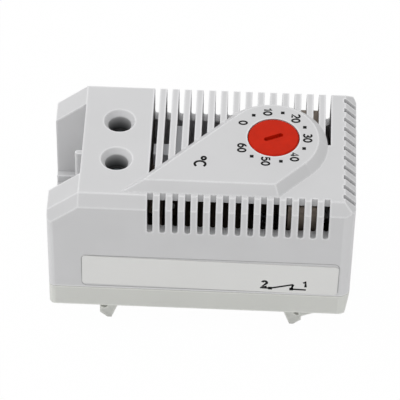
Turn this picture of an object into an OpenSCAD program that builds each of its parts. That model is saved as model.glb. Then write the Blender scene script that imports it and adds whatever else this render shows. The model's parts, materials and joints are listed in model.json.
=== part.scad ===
// Room thermostat for a 35 mm top-hat rail: vented cover, clip-on base, red setting dial,
// two screw terminals and a U-shaped bimetal strip that works a sprung contact.
// +X points to the vent end, -Y to the label side, +Z out of the dial face.
// The origin is the middle of the face that sits on the rail.

/* [Housing] */
// Length from the wire end to the vent end
housing_l = 60; // [59.5:0.5:66]
// Width across the two long walls
housing_w = 33; // [32.5:0.5:38]
// Height of the top face above the rail seat
housing_h = 30.8; // [30.5:0.1:34]
// Thickness of the cover's walls
wall_t = 2; // [1.6:0.1:2.2]
// Thickness of the cover's top plate
top_t = 2; // [1.6:0.1:2.2]
// Height of the seam between base and cover
seam_z = 5.4; // [5:0.1:6]
// Size of the bevel along the base's top edge, which shows the seam
seam_bevel = 0.25; // [0.1:0.05:0.4]
// Radius of the two upright corners at the vent end
corner_r = 2.2; // [1:0.1:2.4]
// Radius of the two upright corners at the wire end
wire_corner_r = 1.2; // [0.8:0.1:2]
// Distance that the base's vent end leans in at the bottom
base_lean = 0.8; // [0:0.1:1.2]
// Width of the long edge chamfers, seen from above
edge_run = 1.9; // [1:0.1:2.4]
// Height of the long edge chamfers
edge_drop = 2.3; // [1:0.1:3]
// Size of the 45 degree chamfer at the vent end
end_chamfer = 2.2; // [1:0.1:2.6]

/* [Wire end] */
// Length of the sloping shoulders
slope_run = 6.2; // [5:0.1:7]
// Height that the shoulders fall
slope_drop = 5.2; // [3:0.1:7]
// Width of the open bay between the shoulders
bay_w = 19; // [18.4:0.1:20]
// Height of the bay's floor
bay_floor_z = 9.3; // [8.6:0.1:10]
// Thickness of the bay's floor
bay_floor_t = 1.8; // [1:0.1:2.4]
// Height of the ledges beside the bay's floor
ledge_h = 1.8; // [1:0.1:2.4]
// Width of the ledges beside the bay's floor
ledge_w = 1.4; // [0.8:0.1:2]
// Thickness of the rib between the two wire entries
divider_t = 1; // [0.8:0.1:1.6]
// Length that the rib stands out into the bay
divider_nose = 1.7; // [1:0.1:2.2]
// Depth of the rib's top below the top face
divider_drop = 4; // [2:0.1:5]
// Thickness of the shoulders' inner walls
cheek_t = 2; // [1.4:0.1:2.4]

/* [Terminals] */
// Distance between the two terminal screws
term_pitch = 10.4; // [10.2:0.1:10.8]
// Distance of the terminal screws from the wire end
term_inset = 13.1; // [12.9:0.1:13.4]
// Length of the terminal block's top face
block_l = 13.4; // [13.2:0.1:14]
// Diameter of the screwdriver holes
driver_d = 4.6; // [4.5:0.1:5]
// Diameter of the holes' countersinks
sink_d = 6.2; // [5.6:0.1:6.6]
// Depth of the holes' countersinks
sink_h = 1.2; // [0.8:0.1:1.6]
// Width of each clamp chamber
chamber_w = 7; // [6.9:0.1:7.2]
// Width of each wire entry
entry_w = 5.4; // [4.8:0.1:5.6]
// Height of each wire entry
entry_h = 4.6; // [4.4:0.1:4.7]
// Diameter of the terminal screws' thread
clamp_screw_d = 3; // [2.6:0.1:3.4]
// Diameter of the terminal screws' heads
clamp_head_d = 3.8; // [3.6:0.1:3.9]
// Height of the terminal screws' heads
clamp_head_h = 2.4; // [1.8:0.1:2.8]
// Depth of the screw heads below the top face
clamp_head_depth = 4.8; // [4.6:0.1:5]
// Travel of the clamp cages
cage_travel = 3; // [2:0.1:3.1]
// Thickness of the copper terminal bars
bar_t = 0.8; // [0.6:0.1:1]
// Width of the terminal bars inside the clamps
bar_w = 4.4; // [4:0.1:4.6]

/* [Vents] */
// Number of slots along each long side
slot_count = 15; // [9:1:15]
// Distance from slot to slot along the long sides
slot_pitch = 2.445; // [2:0.005:2.45]
// Width of the slots in the long sides
slot_w = 1.1; // [0.8:0.05:1.3]
// Depth of the slots below the top face
slot_depth = 8.7; // [6:0.1:10]
// Number of slots at the vent end
end_slot_count = 11; // [5:1:11]
// Distance from slot to slot at the vent end
end_slot_pitch = 2.62; // [2:0.01:2.65]
// Width of the slots at the vent end
end_slot_w = 1; // [0.8:0.05:1.2]

/* [Dial] */
// Distance of the dial's axis from the vent end
dial_inset = 16.4; // [16.2:0.1:16.6]
// Offset of the dial's axis across the body
dial_y = 0.4; // [-0.5:0.1:0.5]
// Diameter of the dial
dial_d = 10; // [9:0.1:10.6]
// Gap round the dial's rim
dial_gap = 0.15; // [0.1:0.05:0.3]
// Height of the dial's face above the raised field
dial_proud = 0.1; // [0:0.05:0.6]
// Depth of the dial's recess in the raised field
dial_sink = 2.4; // [2.2:0.1:2.6]
// Width of the bevel round the dial's face
dial_bevel = 0.25; // [0.1:0.05:0.4]
// Length of the dial's screwdriver slot
dial_slot_l = 4; // [3:0.1:6]
// Width of the dial's screwdriver slot
dial_slot_w = 1; // [0.5:0.05:1.2]
// Depth of the dial's screwdriver slot
dial_slot_h = 0.8; // [0.5:0.1:1.4]
// Angle that the slot points to on the scale
dial_angle = 25; // [-150:5:150]
// Radius of the raised field round the dial
field_r = 9.2; // [8:0.1:9.6]
// Height of the raised field
field_h = 1.8; // [1:0.1:2.2]
// Distance from the field's round end to the vent end
field_inset = 16.7; // [16.6:0.1:17.4]
// Offset of the field's round end across the body
field_y = 0.2; // [-0.2:0.1:0.4]
// Direction of the field's straight sides
field_angle = 46.3; // [42:0.1:50]
// Flat strip between the field and the long edge
field_margin = 0.65; // [0.4:0.05:1.2]

/* [Base and rail clip] */
// Thickness of the base's floor
floor_t = 3.4; // [3.3:0.1:3.6]
// Height of the locating lip inside the cover
lip_h = 2; // [1.4:0.1:2.2]
// Thickness of the locating lip
lip_t = 1.2; // [1:0.1:1.4]
// Width of the rail over its two flanges
rail_w = 35; // [34.8:0.1:35.2]
// Thickness of the rail's flanges
rail_t = 1; // [0.9:0.1:1.1]
// Offset of the rail's middle towards the vent end
rail_x = 0.3; // [0:0.1:0.6]
// Length that each hook's nose reaches under a flange
hook_grip = 1.3; // [0.9:0.1:1.4]
// Depth of the hooks below the rail seat
hook_depth = 6.5; // [5:0.1:6.8]
// Width of each hook
hook_w = 3; // [2:0.1:3.4]
// Distance between the outer faces of a pair of hooks
hook_span = 28; // [26:0.1:28.2]
// Travel of the sprung hooks
latch_travel = 1.8; // [1.6:0.1:1.9]

/* [Label] */
// Length of the label plate
label_l = 50.7; // [40:0.1:50.7]
// Height of the label plate
label_h = 8.1; // [6:0.1:9]
// Height of the label's middle above the rail seat
label_z = 10.35; // [10:0.05:12]
// Offset of the label's middle towards the vent end
label_x = 2.1; // [0:0.1:2.1]
// Angle at which the label was stuck on
label_tilt = 0.8; // [0:0.1:1.5]
// Thickness of the label plate
label_t = 0.2; // [0.1:0.05:0.4]

/* [Mechanism] */
// Width of the bimetal strip
strip_w = 6.4; // [5:0.1:6.6]
// Thickness of the bimetal strip
strip_t = 0.8; // [0.5:0.05:0.9]
// Outer bend radius of the bimetal strip
strip_bend = 1.1; // [1:0.1:2]
// Contact gap with the strip at rest
contact_gap = 0.6; // [0.6:0.05:0.8]
// Diameter of the setting spindle's thread
spindle_d = 4; // [3.6:0.1:4.2]
// Diameter of the spindle's bearing
journal_d = 6; // [5.6:0.1:6.4]
// Thickness of the chassis plate
chassis_t = 1; // [0.8:0.1:1.2]
// Thickness of the setting lever
lever_t = 1; // [0.8:0.1:1.1]
// Wire of the lever's spring
lever_wire = 0.5; // [0.4:0.05:0.6]
// Mean diameter of the lever's spring
lever_coil_d = 4.4; // [4:0.1:4.8]
// Turns of the lever's spring
lever_turns = 6; // [4:1:8]
// Wire of the latch's spring
latch_wire = 0.35; // [0.3:0.05:0.4]
// Mean diameter of the latch's spring
latch_coil_d = 2; // [1.8:0.1:2.1]
// Turns of the latch's spring
latch_turns = 5; // [4:1:5]

/* [Hidden] */
$fn = 48;

// Overrun of every cut past the face that it leaves
cut = 0.5;
// Clearance all round a pin or a shaft that turns
turn_fit = 0.05;
// Clearance between a sliding part and its guide
slide_fit = 0.15;
// Gap between parts that touch when the mechanism works
rest_gap = 0.3;

// Outside and inside of the body
x_end = housing_l/2;
y_side = housing_w/2;
x_inside = x_end - wall_t;
y_inside = y_side - wall_t;
z_inside = housing_h - top_t;

// Wire end: shoulders, bay and terminal block
block_wall_t = 2;
shelf_t = 1;
head_well_gap = 0.2;
bay_x = slope_run - x_end;
slope_angle = atan(slope_drop/slope_run);
block_x = bay_x + block_l;
cheek_y = bay_w/2 + cheek_t;
term_x = term_inset - x_end;
term_y = term_pitch/2;
chamber_x0 = bay_x + block_wall_t;
chamber_x1 = block_x - block_wall_t;
head_z = housing_h - clamp_head_depth - clamp_head_h;
head_top_z = head_z + clamp_head_h;
head_well_z = head_top_z + head_well_gap;
head_well_d = clamp_head_d + 2*slide_fit;
chamber_top_z = head_z - shelf_t;

// Clamp cages and terminal bars, at rest with the mouth fully open
cage_t = 0.9;
cage_w = 6.4;
cage_l = 7;
cage_mouth = 4.5;
cage_headroom = 0.7;
cage_top_gap = 0.2;
cage_z1 = chamber_top_z - cage_top_gap - cage_travel;
bar_z = cage_z1 - cage_t - cage_headroom - bar_t;
bar_top_z = bar_z + bar_t;
cage_z0 = bar_z - cage_mouth - cage_t;
screw_tip_z = bar_top_z + rest_gap;
entry_z = bar_z - entry_h - rest_gap;
bar_end_gap = 0.4;
bar_drop_gap = 1.8;
bar_x0 = chamber_x0 + bar_end_gap;
bar_drop_x = block_x + bar_drop_gap;
bar_slot_w = bar_w + 2*slide_fit;
bar_run_w = 4;
bar_foot_l = 3;
bar_foot_x1 = bar_drop_x + bar_foot_l;
bar_rivet_d = 1.2;
bar_rivet_head_d = 1.8;
bar_rivet_in = 1.9;
bar_rivet_x = bar_drop_x + bar_rivet_in;
driver_slot_w = 0.8;
driver_slot_h = 1.1;

// Slots: the first one opens beside the terminal block
far_slot_margin = 0.4;
slot_x0 = block_x + slot_w/2;
slot_end_z = housing_h - slot_depth;
far_slot_stop = field_y + far_slot_margin;
field_foot_r = field_r + field_h;
field_x = x_end - field_inset;
field_foot_y = edge_run + field_margin - y_side;
field_z = housing_h + field_h;

// Label's corners
label_corner = 0.7;

// Seam groove, and the lip and lugs that locate the cover
lip_fit = 0.1;
lug_h = 0.8;
lug_w = 5;
lug_reach = 0.4;
lug_drop = 0.5;
lug_x = 15;
lip_y1 = y_inside - lip_fit;
lip_y0 = lip_y1 - lip_t;

// Bimetal strip: room for its flexing, its carrier and the contacts
strip_gap_x = 3.3;
strip_gap_far = 0.6;
strip_gap_near = 0.9;
strip_gap_top = 1.2;
carrier_seat = 4.4;
carrier_pin_d = 1.2;
carrier_rise = 1.2;
carrier_drop = 1.3;
carrier_margin = 0.9;
carrier_gap_bend = 1.2;
carrier_back = 1.4;
carrier_front = 2.6;
foot_overhang = 0.2;
rivet_d = 0.8;
rivet_head_d = 1.2;
rivet_head_h = 0.4;
rivet_in = 1.7;
rivet_spread = 3.2;
button_d = 3;
button_h = 0.8;
button_tail_d = 1.6;
contact_in = 2.8;
armature_pitch = 4;
armature_t = 0.8;
armature_w = 3;
armature_margin = 0.5;
armature_tab = 1.8;
magnet_h = 2.9;
magnet_w = 2.8;
magnet_seat = 1.5;
magnet_fit = 0.05;
contact_block_h = 5.6;
contact_skirt = 1.4;
contact_back = 2.2;
magnet_wall = 1;
strip_near_y = strip_gap_near - y_inside;
contact_y = strip_near_y + contact_in;
armature_y = contact_y + armature_pitch;
block_y1 = armature_y + magnet_w/2 + magnet_wall;

// Chassis, its posts, screws and ears
post_d = 4.4;
post_h = 1;
post_inset_x = 1.9;
post_inset_y = 2.1;
post_right_y = 5;
post_far_in = 8.6;
chassis_gap_block = 1.4;
chassis_gap_end = 3.8;
chassis_gap_lip = 0.6;
chassis_gap_near = 0.4;
chassis_screw_d = 1.9;
chassis_head_d = 3.8;
chassis_head_h = 1.2;
chassis_pilot_h = 2.2;
chassis_tip_gap = 0.2;
ear_t = 1;
ear_w = 2.2;
ear_gap = 0.25;
ear_head = 1.3;
stud_d = 3.2;
stud_h = 2;
chassis_z = floor_t + post_h;
chassis_top = chassis_z + chassis_t;
chassis_x0 = block_x + chassis_gap_block;
chassis_x1 = x_end - chassis_gap_end;
chassis_y0 = block_y1 + chassis_gap_near;
chassis_y1 = lip_y0 - chassis_gap_lip;
post_x0 = chassis_x0 + post_inset_x;
post_x1 = chassis_x1 - post_inset_x;
post_y0 = chassis_y0 + post_inset_y;
post_y1 = chassis_y1 - post_inset_y;
post_far_x = chassis_x0 + post_far_in;
posts = [[post_x0, post_y0], [post_x1, post_y0], [post_far_x, post_y1], [post_x1, post_right_y]];

// Dial, spindle and clip
washer_t = 0.2;
washer_inset = 0.3;
dial_lift = 0.03;
seat_h = 0.9;
clip_t = 0.6;
clip_play = 0.1;
clip_band = 1.2;
clip_mouth = 3.4;
clip_groove = 0.6;
journal_end = 0.4;
dial_x = x_end - dial_inset;
dial_floor_z = field_z - dial_sink;
dial_top_z = field_z + dial_proud;
dial_z = dial_floor_z + washer_t + dial_lift;
clip_z = z_inside - clip_play - clip_t;
journal_z = clip_z - journal_end;
neck_d = journal_d - 2*clip_groove;

// Places of the strip, from the dial's axis and the walls
strip_x0 = dial_x + strip_gap_x;
strip_x1 = strip_x0 + strip_w;
strip_xm = strip_x0 + strip_w/2;
strip_top = z_inside - strip_gap_top;
strip_far_y = y_inside - strip_gap_far;
carrier_y1 = strip_far_y - strip_bend - carrier_gap_bend;
carrier_y = carrier_y1 - carrier_front;
carrier_y0 = carrier_y - carrier_back;
carrier_z = chassis_top + carrier_seat;
carrier_z0 = carrier_z - carrier_drop;
carrier_half = strip_w/2 - carrier_margin;
foot_z = carrier_z + carrier_rise;
foot_top_z = foot_z + strip_t;
foot_y0 = carrier_y0 - foot_overhang;
rivet_y = carrier_y + rivet_in;
rivet_x = [strip_xm - rivet_spread/2, strip_xm + rivet_spread/2];
block_z = floor_t + contact_block_h;
armature_half = strip_w/2 - armature_margin;
run_top_z = block_z + bar_t;
fixed_top = run_top_z + button_h;
near_foot_z = fixed_top + contact_gap + button_h;
near_foot_top_z = near_foot_z + strip_t;
near_foot_y1 = armature_y + armature_tab;
magnet_z0 = block_z - magnet_seat;
magnet_half = strip_w/2 - carrier_margin;

// Setting lever over the strip's foot, and the nut that presses it
lever_rise = 3.7;
lever_arm_w = 5.5;
lever_nose_l = 2.8;
lever_pin_d = 1.6;
lever_pin_pitch = 3;
lever_pin_drop = 0.9;
lever_gap_leg = 0.4;
lever_tab_w = 3.8;
lever_tab_reach = 2.3;
lever_lug_t = 0.8;
lever_lug_h = 2.1;
nut_w = 8.7;
nut_l = 6.2;
nut_h = 5;
nut_nose_r = 0.6;
nut_floor = 1.4;
nut_tip_gap = 0.5;
guide_t = 1.4;
guide_l = 5.6;
guide_gap = 0.4;
calib_d = 2.4;
calib_head_d = 3.6;
calib_head_h = 1.1;
calib_stand = 0.8;
calib_back = 0.4;
calib_gap = 0.4;
calib_tip_d = 1.6;
calib_tip_h = 0.8;
calib_slot_w = 0.55;
lever_x0 = dial_x - lever_arm_w/2;
lever_x1 = dial_x + lever_arm_w/2;
lever_z = foot_top_z + lever_rise;
lever_top_z = lever_z + lever_t;
lever_pin_y = carrier_y - lever_pin_pitch;
lever_pin_z = lever_z - lever_pin_drop;
lever_y0 = dial_y - lever_nose_l;
lever_y1 = strip_far_y - strip_t - lever_gap_leg;
lever_tab_y = lever_y1 - lever_tab_w;
lever_tab_x1 = strip_xm + lever_tab_reach;
nut_z = lever_top_z + rest_gap + nut_nose_r;
nut_bore_z = nut_z + nut_floor;
spindle_tip_z = nut_bore_z + nut_tip_gap;
calib_y = rivet_y - calib_back;
calib_tip_z = foot_top_z + calib_gap;
calib_head_z = lever_top_z + calib_stand;
lever_ears = [lever_x0 - ear_gap - ear_t, lever_x1 + ear_gap];
carrier_ears = [strip_xm - carrier_half - ear_gap - ear_t, strip_xm + carrier_half + ear_gap];

// Barrier between the terminals and the mechanism
barrier_gap_block = 5.3;
barrier_t = 1.5;
barrier_head_in = 1;
barrier_head_h = 8;
barrier_y0 = -1.9;
barrier_w = 10.2;
barrier_gap_top = 2;
barrier_web_y0 = 0.1;
barrier_web_w = 3;
barrier_web_gap = 0.4;
barrier_web_h = 3;
barrier_x0 = block_x + barrier_gap_block;
barrier_top = z_inside - barrier_gap_top;

// Rail hooks
hook_clear = 0.2;
hook_root = 2.65;
hook_tip_in = 0.35;
hook_tip_l = 0.8;
hook_heel = 1.4;
hook_hole_d = 1.4;
hook_hole_h = 0.6;
hook_hole_x = 0.85;
hook_hole_z = 3;
rail_edge_0 = rail_x - rail_w/2;
rail_edge_1 = rail_x + rail_w/2;
nose_drop = rail_t + hook_clear;
hook_y1 = hook_span/2;
hook_y0 = hook_y1 - hook_w;

// Latch with the sprung hooks, and its pocket
latch_gap = 0.25;
latch_t = 1.4;
latch_tail = 8;
latch_end_gap = 3.6;
latch_w = 14;
latch_side = 0.1;
latch_flange = 1.2;
latch_flange_t = 0.75;
gusset_l = 2.3;
gusset_t = 1;
gusset_high = 2.9;
gusset_low = 4.3;
pull_t = 1.4;
pull_w = 6;
pull_h = 2.6;
thrust_t = 1;
thrust_in = 0.5;
spring_room = 4.7;
spring_stop_t = 1;
spring_stop_w = 2.6;
spring_stop_root = 0.5;
window_w = 3;
window_spare = 0.2;
cross_x0 = rail_edge_1 + hook_clear;
cross_x1 = cross_x0 + hook_root + latch_side;
latch_x0 = cross_x0 - latch_tail;
latch_x1 = x_end - latch_end_gap;
latch_top = latch_gap + latch_t;
pocket_z = latch_top + latch_side;
window_x0 = latch_x0 + thrust_in + thrust_t;
spring_stop_x = window_x0 + spring_room;
window_x1 = spring_stop_x + spring_stop_t + window_spare;
spring_z = latch_gap + latch_coil_d/2 + latch_wire/2;
spring_groove_z = latch_gap + latch_coil_d + latch_wire + latch_side;
thrust_top = spring_groove_z - latch_side;

// Springs: sides and rings of each curl
coil_sides = 6;
coil_rings = 8;
latch_spring_l = spring_room - 2*turn_fit;
lever_spring_h = lever_z - chassis_top - 2*turn_fit;

function both_sides(v) = [-v, v];

// Box between two corners
module block(x0, x1, y0, y1, z0, z1) {
    translate([x0, y0, z0]) cube([x1 - x0, y1 - y0, z1 - z0]);
}

// Upright cylinder at a place
module rod(x, y, z0, z1, d) {
    translate([x, y, z0]) cylinder(h = z1 - z0, d = d);
}

// Cylinder lying along X
module cross_rod(x0, x1, y, z, d) {
    translate([x0, y, z]) rotate([0, 90, 0]) cylinder(h = x1 - x0, d = d);
}

// Outline of [y, z] points, drawn out from x0 to x1
module along_x(x0, x1) {
    translate([x0, 0, 0]) rotate([90, 0, 90]) linear_extrude(x1 - x0) children();
}

// Outline of [x, z] points, drawn out from y0 to y1
module along_y(y0, y1) {
    translate([0, y1, 0]) rotate([90, 0, 0]) linear_extrude(y1 - y0) children();
}

// Rectangle with round corners, from exact arcs
module round_rect(x0, x1, y0, y1, r) {
    translate([x0 + r, y0]) square([x1 - x0 - 2*r, y1 - y0]);
    translate([x0, y0 + r]) square([x1 - x0, y1 - y0 - 2*r]);
    for (x = [x0 + r, x1 - r], y = [y0 + r, y1 - r]) translate([x, y]) circle(r);
}

// Plan of the body
module body_plan() {
    round_rect(-x_end, x_end - 2*corner_r, -y_side, y_side, wire_corner_r);
    round_rect(2*wire_corner_r - x_end, x_end, -y_side, y_side, corner_r);
}

// Body above a height: chamfered long edges, vent end and shoulders
module body_solid(z0) {
    intersection() {
        translate([0, 0, z0]) linear_extrude(housing_h - z0) body_plan();
        along_x(-x_end, x_end) polygon([[-y_side, z0], [y_side, z0],
            [y_side, housing_h - edge_drop], [y_side - edge_run, housing_h],
            [edge_run - y_side, housing_h], [-y_side, housing_h - edge_drop]]);
        along_y(-y_side, y_side) polygon([[-x_end, z0], [x_end, z0],
            [x_end, housing_h - end_chamfer], [x_end - end_chamfer, housing_h],
            [-x_end, housing_h]]);
        // Sloping shoulders, with the same chamfer along them
        translate([bay_x, 0, housing_h]) rotate([0, -slope_angle, 0]) along_x(-housing_l, housing_l)
            polygon([[-y_side, -2*housing_l], [y_side, -2*housing_l],
                [y_side, -edge_drop*cos(slope_angle)], [y_side - edge_run, 0],
                [edge_run - y_side, 0], [-y_side, -edge_drop*cos(slope_angle)]]);
    }
}

// Base block with a bevel along its top edge and a leaning vent end
module base_solid() {
    intersection() {
        union() {
            linear_extrude(seam_z - seam_bevel) body_plan();
            for (corner = [[wire_corner_r - x_end, wire_corner_r], [x_end - corner_r, corner_r]])
                for (y = both_sides(y_side - corner[1]))
                    translate([corner[0], y, seam_z - seam_bevel])
                        cylinder(h = seam_bevel, r1 = corner[1], r2 = corner[1] - seam_bevel);
            along_x(wire_corner_r - x_end, x_end - corner_r) polygon([[-y_side, seam_z - seam_bevel - cut],
                [y_side, seam_z - seam_bevel - cut], [y_side, seam_z - seam_bevel],
                [y_side - seam_bevel, seam_z], [seam_bevel - y_side, seam_z],
                [-y_side, seam_z - seam_bevel]]);
            along_y(wire_corner_r - y_side, y_side - wire_corner_r)
                polygon([[-x_end, seam_z - seam_bevel - cut], [0, seam_z - seam_bevel - cut],
                    [0, seam_z], [seam_bevel - x_end, seam_z], [-x_end, seam_z - seam_bevel]]);
            along_y(corner_r - y_side, y_side - corner_r)
                polygon([[0, seam_z - seam_bevel - cut], [x_end, seam_z - seam_bevel - cut],
                    [x_end, seam_z - seam_bevel], [x_end - seam_bevel, seam_z], [0, seam_z]]);
        }
        along_y(-y_side, y_side) polygon([[-x_end, 0], [x_end - base_lean, 0], [x_end, seam_z - seam_bevel],
            [x_end, seam_z], [-x_end, seam_z]]);
    }
}

// Plan of the raised field, r wide on each side of its middle line
module field_plan(r, near_y) {
    intersection() {
        union() {
            translate([field_x, field_y]) circle(r, $fn = 96);
            translate([field_x, field_y]) rotate(field_angle + 180)
                translate([0, -r]) square([housing_l, 2*r]);
        }
        translate([-housing_l, near_y]) square([2*housing_l, housing_w]);
    }
}

// Raised field with 45 degree flanks
module raised_field() {
    intersection() {
        union() {
            translate([field_x, field_y, housing_h])
                cylinder(h = field_h, r1 = field_foot_r, r2 = field_r, $fn = 96);
            translate([field_x, field_y, 0]) rotate(field_angle + 180)
                along_x(0, housing_l) polygon([[-field_foot_r, housing_h], [field_foot_r, housing_h],
                    [field_r, field_z], [-field_r, field_z]]);
        }
        along_x(-housing_l, housing_l) polygon([[field_foot_y, housing_h],
            [field_foot_y + field_h, field_z], [housing_w, field_z], [housing_w, housing_h]]);
    }
}

// Slots through the near wall, from the top face's edge down, with round ends
module near_slots() {
    for (i = [0:slot_count - 1]) let (x = slot_x0 + i*slot_pitch)
        along_y(-y_side - cut, -y_inside + cut) {
            translate([x - slot_w/2, slot_end_z + slot_w/2])
                square([slot_w, slot_depth - slot_w/2 + cut]);
            translate([x, slot_end_z + slot_w/2]) circle(d = slot_w);
        }
}

// Slots through the far wall and across the top plate, up to the raised field
module far_slots() {
    difference() {
        for (i = [0:slot_count - 1]) let (x = slot_x0 + i*slot_pitch) {
            along_y(y_inside - cut, y_side + cut) {
                translate([x - slot_w/2, slot_end_z + slot_w/2])
                    square([slot_w, slot_depth - slot_w/2 + cut]);
                translate([x, slot_end_z + slot_w/2]) circle(d = slot_w);
            }
            block(x - slot_w/2, x + slot_w/2, x > dial_x ? far_slot_stop : field_foot_y,
                y_side + cut, z_inside - cut, housing_h + cut);
        }
        translate([0, 0, z_inside - 2*cut]) linear_extrude(top_t + 4*cut)
            field_plan(field_foot_r, field_foot_y);
    }
}

// Slots over the chamfer and down the wall of the vent end
module end_slots() {
    for (i = [0:end_slot_count - 1]) let (y = (i - (end_slot_count - 1)/2)*end_slot_pitch)
        along_x(x_inside - cut, x_end + cut) {
            translate([y - end_slot_w/2, slot_end_z + end_slot_w/2])
                square([end_slot_w, slot_depth - end_slot_w/2 + cut]);
            translate([y, slot_end_z + end_slot_w/2]) circle(d = end_slot_w);
        }
}

// Everything hollow inside the cover
module cover_hollow() {
    block(block_x, x_inside, -y_inside, y_inside, seam_z - cut, z_inside);
    for (s = [-1, 1]) {
        // Hollow shoulder, its roof parallel to the slope
        along_y(s > 0 ? cheek_y : -y_inside, s > 0 ? y_inside : -cheek_y)
            polygon([[wall_t - x_end, seam_z - cut], [block_x - block_wall_t, seam_z - cut],
                [block_x - block_wall_t, z_inside], [bay_x, z_inside],
                [wall_t - x_end, z_inside - slope_drop*(slope_run - wall_t)/slope_run]]);
        // Clamp chamber with the slot that its terminal bar is pushed up into
        block(chamber_x0, chamber_x1, s*term_y - chamber_w/2, s*term_y + chamber_w/2,
            seam_z - cut, chamber_top_z);
        block(chamber_x1 - cut, block_x + cut, s*term_y - bar_slot_w/2, s*term_y + bar_slot_w/2,
            seam_z - cut, bar_top_z + slide_fit);
    }
    // Space under the bay's floor
    block(wall_t - x_end, chamber_x0 + cut, -bay_w/2, bay_w/2, seam_z - cut, bay_floor_z - bay_floor_t);
}

// Open bay between the shoulders
module bay() {
    block(-x_end - cut, bay_x, -bay_w/2, bay_w/2, bay_floor_z + ledge_h, housing_h + cut);
    block(-x_end - cut, bay_x, ledge_w - bay_w/2, bay_w/2 - ledge_w, bay_floor_z, housing_h);
}

// Hole for a screwdriver, head well and shank hole of one terminal screw
module driver_hole(s) {
    rod(term_x, s*term_y, chamber_top_z - cut, housing_h, clamp_screw_d + 2*turn_fit);
    rod(term_x, s*term_y, head_z, head_well_z + cut, head_well_d);
    rod(term_x, s*term_y, head_well_z, housing_h + cut, driver_d);
    translate([term_x, s*term_y, housing_h - sink_h])
        cylinder(h = sink_h, d1 = driver_d, d2 = sink_d);
    rod(term_x, s*term_y, housing_h, housing_h + cut, sink_d);
}

module housing() {
    color([0.81, 0.81, 0.82]) difference() {
        union() {
            difference() {
                union() {
                    difference() {
                        body_solid(seam_z);
                        cover_hollow();
                    }
                    // Ribs that keep the nut from turning
                    for (s = [-1, 1]) let (y = dial_y + s*(nut_w/2 + slide_fit))
                        block(dial_x - guide_l/2, dial_x + guide_l/2, min(y, y + s*guide_t),
                            max(y, y + s*guide_t), nut_z - guide_gap, z_inside + cut);
                }
                bay();
                near_slots();
                far_slots();
                end_slots();
            }
            raised_field();
            // Rounded rib between the wire entries
            block(bay_x - divider_nose + divider_t/2, bay_x + cut, -divider_t/2, divider_t/2,
                bay_floor_z - cut, housing_h - divider_drop);
            rod(bay_x - divider_nose + divider_t/2, 0, bay_floor_z - cut, housing_h - divider_drop,
                divider_t);
        }
        // Recess and bearing of the dial
        rod(dial_x, dial_y, dial_floor_z, field_z + cut, dial_d + 2*dial_gap);
        rod(dial_x, dial_y, z_inside - cut, field_z, journal_d + 2*turn_fit);
        for (s = [-1, 1]) {
            driver_hole(s);
            block(bay_x - cut, chamber_x0 + cut, s*term_y - entry_w/2, s*term_y + entry_w/2,
                entry_z, entry_z + entry_h);
            // Grooves for the base's lugs
            for (x = both_sides(lug_x)) let (y = s*y_inside)
                block(x - lug_w/2 - lip_fit, x + lug_w/2 + lip_fit,
                    min(y - s*cut, y + s*(lug_reach + lip_fit)),
                    max(y - s*cut, y + s*(lug_reach + lip_fit)),
                    seam_z + lug_drop - lip_fit, seam_z + lug_drop + lug_h + lip_fit);
        }
    }
}

// Outline of one rail hook, its outer face at x = 0 and its nose towards +X
module hook_outline(root_z) {
    polygon([[0, root_z], [hook_root, root_z], [hook_root, -nose_drop],
        [hook_root + hook_grip + hook_clear, -nose_drop],
        [hook_root - hook_tip_in, -hook_depth],
        [hook_root - hook_tip_in - hook_tip_l, -hook_depth], [0, hook_heel - hook_depth]]);
}

// Pair of hooks, on the side given by dir, rooted at a height
module hook_pair(face_x, dir, root_z) {
    for (s = [-1, 1]) difference() {
        along_y(s > 0 ? hook_y0 : -hook_y1, s > 0 ? hook_y1 : -hook_y0)
            translate([face_x, 0]) mirror([dir > 0 ? 0 : 1, 0]) hook_outline(root_z);
        translate([face_x + dir*hook_hole_x, s*hook_y1 + (s > 0 ? cut : hook_hole_h), -hook_hole_z])
            rotate([90, 0, 0]) cylinder(h = hook_hole_h + cut, d = hook_hole_d);
    }
}

module base() {
    color([0.74, 0.74, 0.73]) {
        difference() {
            union() {
                difference() {
                    base_solid();
                    block(wall_t - x_end, x_inside, -y_inside, y_inside, floor_t, seam_z + cut);
                }
                // Lip with four snap lugs
                for (s = [-1, 1]) {
                    difference() {
                        block(corner_r - x_inside, x_inside - corner_r, s > 0 ? lip_y0 : -lip_y1,
                            s > 0 ? lip_y1 : -lip_y0, floor_t, seam_z + lip_h);
                        block(chamber_x1 - lip_fit, block_x + lip_fit, -y_side, y_side, seam_z,
                            seam_z + lip_h + cut);
                    }
                    for (x = both_sides(lug_x)) let (y = s*lip_y1)
                        block(x - lug_w/2, x + lug_w/2, min(y - s*lip_t/2, y + s*lug_reach),
                            max(y - s*lip_t/2, y + s*lug_reach), seam_z + lug_drop,
                            seam_z + lug_drop + lug_h);
                }
                for (p = posts) rod(p[0], p[1], floor_t - cut, chassis_z, post_d);
            }
            for (p = posts) rod(p[0], p[1], chassis_z - chassis_pilot_h, chassis_z + cut,
                chassis_screw_d + 2*turn_fit);
            latch_pocket();
        }
        hook_pair(rail_edge_0 - hook_clear - hook_root, 1, floor_t/2);
        // Stop that the latch's spring bears on
        block(spring_stop_x, spring_stop_x + spring_stop_t, -spring_stop_w/2, spring_stop_w/2,
            latch_gap, spring_groove_z + spring_stop_root);
    }
}

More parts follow.
